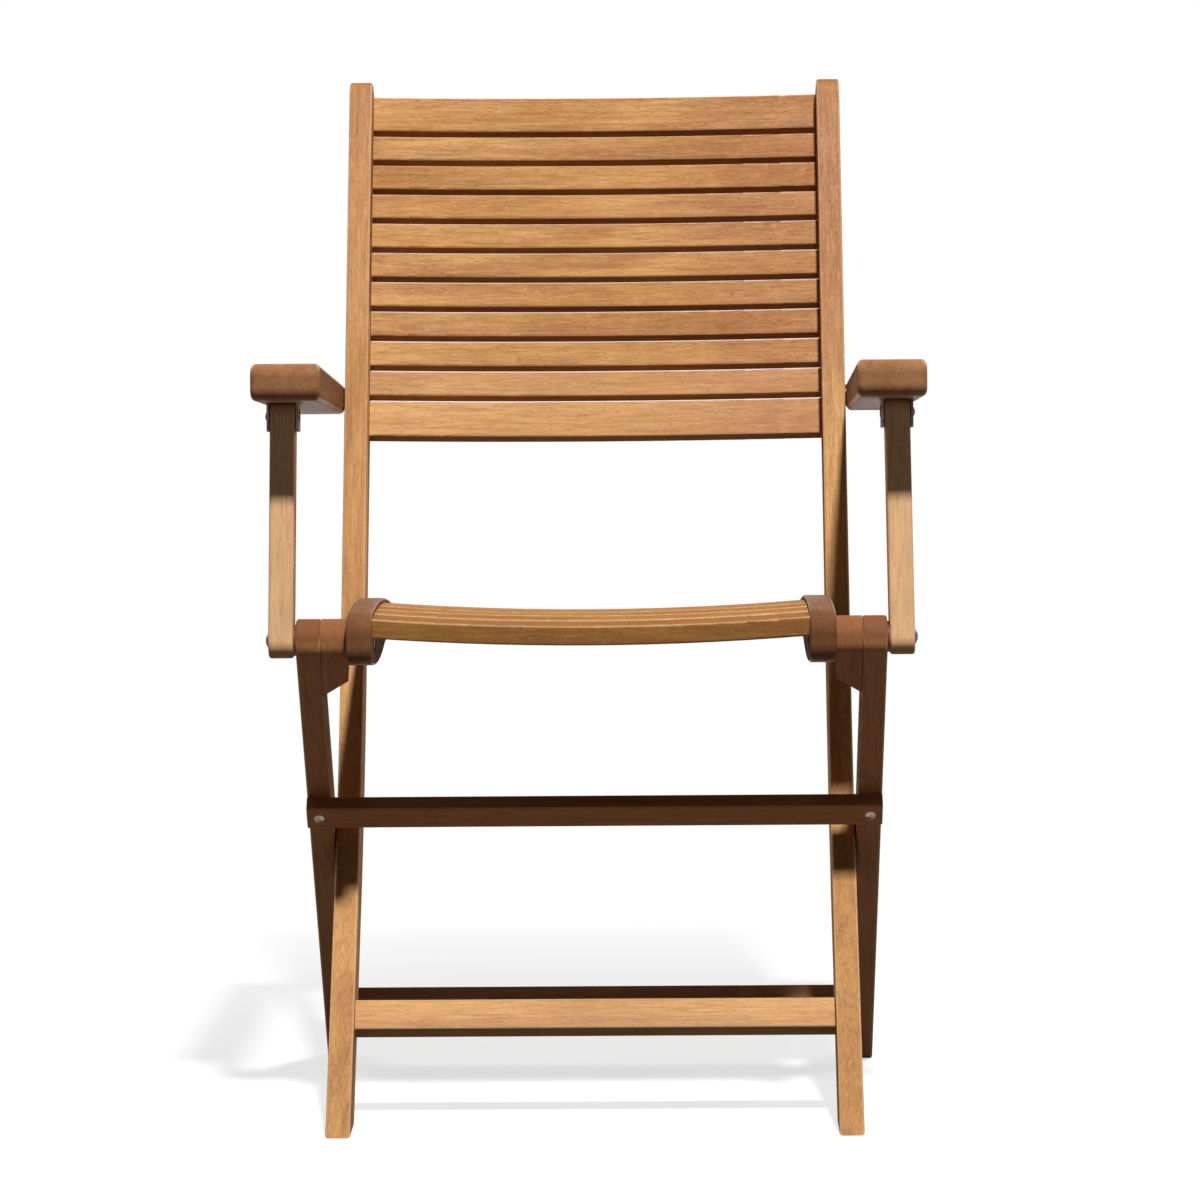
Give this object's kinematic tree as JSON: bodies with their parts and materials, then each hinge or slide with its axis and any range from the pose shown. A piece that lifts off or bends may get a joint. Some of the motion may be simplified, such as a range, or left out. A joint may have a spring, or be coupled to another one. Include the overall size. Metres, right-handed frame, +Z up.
{
  "type": "folding armchair",
  "caption": "Folding garden armchair of oiled hardwood with a slatted back and seat, flat arms on short struts, and crossed legs that fold flat.",
  "frame": {"origin": "on the floor under the middle of the open chair's box", "axes": "+Z up, the sitter looks along -Y, +X to the right in the picture"},
  "size_m": [0.5636, 0.5779, 0.891],
  "materials": {
    "wood": "oiled",
    "steel": "zinc plated"
  },
  "bodies": {
    "back_frame": {"arm_bolts": "steel", "arm_washers": "steel", "back_slat_01": "wood", "back_slat_02": "wood", "back_slat_03": "wood", "back_slat_04": "wood", "back_slat_05": "wood", "back_slat_06": "wood", "back_slat_07": "wood", "back_slat_08": "wood", "back_slat_09": "wood", "back_slat_10": "wood", "back_slat_11": "wood", "fold_bolts": "steel", "fold_washers": "steel", "front_stretcher": "wood", "stile_inserts": "steel", "stile_left": "wood", "stile_right": "wood"},
    "leg_frame": {"crossbar_screws": "steel", "leg_block_left": "wood", "leg_block_right": "wood", "leg_crossbar": "wood", "rear_leg_left": "wood", "rear_leg_right": "wood", "rear_stretcher": "wood", "seat_bolts": "steel", "seat_nuts": "steel", "seat_washers": "steel"},
    "seat": {"guide_pins": "steel", "seat_rail_left": "wood", "seat_rail_right": "wood", "seat_slat_01": "wood", "seat_slat_02": "wood", "seat_slat_03": "wood", "seat_slat_04": "wood", "seat_slat_05": "wood", "seat_slat_06": "wood", "seat_slat_07": "wood", "seat_slat_08": "wood"},
    "arm_left": {"arm_board_left": "wood", "arm_bracket_left": "steel", "bracket_rivet_left": "steel", "bracket_screws_left": "steel"},
    "arm_right": {"arm_board_right": "wood", "arm_bracket_right": "steel", "bracket_rivet_right": "steel", "bracket_screws_right": "steel"},
    "strut_left": {"arm_strut_left": "wood", "strut_bolt_left": "steel", "strut_washer_left": "wood"},
    "strut_right": {"arm_strut_right": "wood", "strut_bolt_right": "steel", "strut_washer_right": "wood"}
  },
  "joints": [
    {"name": "fold", "type": "hinge", "parent": "back_frame", "child": "leg_frame", "pos_m": [0, -0.04988, 0.219], "axis": [-1, 0, 0], "range_deg": [0, 55]},
    {"name": "seat_pivot", "type": "hinge", "parent": "leg_frame", "child": "seat", "pos_m": [0, -0.21833, 0.4145], "axis": [1, 0, 0], "range_deg": [0, 110]},
    {"name": "arm_left_pivot", "type": "hinge", "parent": "back_frame", "child": "arm_left", "pos_m": [-0.2285, 0.13776, 0.603], "axis": [1, 0, 0], "range_deg": [0, 27.24]},
    {"name": "strut_left_pivot", "type": "hinge", "parent": "arm_left", "child": "strut_left", "pos_m": [-0.2571, -0.21176, 0.6028], "axis": [1, 0, 0], "range_deg": [0, 72.79]},
    {"name": "arm_right_pivot", "type": "hinge", "parent": "back_frame", "child": "arm_right", "pos_m": [0.2285, 0.13776, 0.603], "axis": [1, 0, 0], "range_deg": [0, 27.24]},
    {"name": "strut_right_pivot", "type": "hinge", "parent": "arm_right", "child": "strut_right", "pos_m": [0.2571, -0.21176, 0.6028], "axis": [1, 0, 0], "range_deg": [0, 72.79]}
  ],
  "couplings": [
    {"joint": "seat_pivot", "follows": "fold", "ratio": 2},
    {"joint": "arm_left_pivot", "follows": "fold", "ratio": 0.49509},
    {"joint": "strut_left_pivot", "follows": "fold", "ratio": 1.3233},
    {"joint": "arm_right_pivot", "follows": "fold", "ratio": 0.49509},
    {"joint": "strut_right_pivot", "follows": "fold", "ratio": 1.3233}
  ]
}
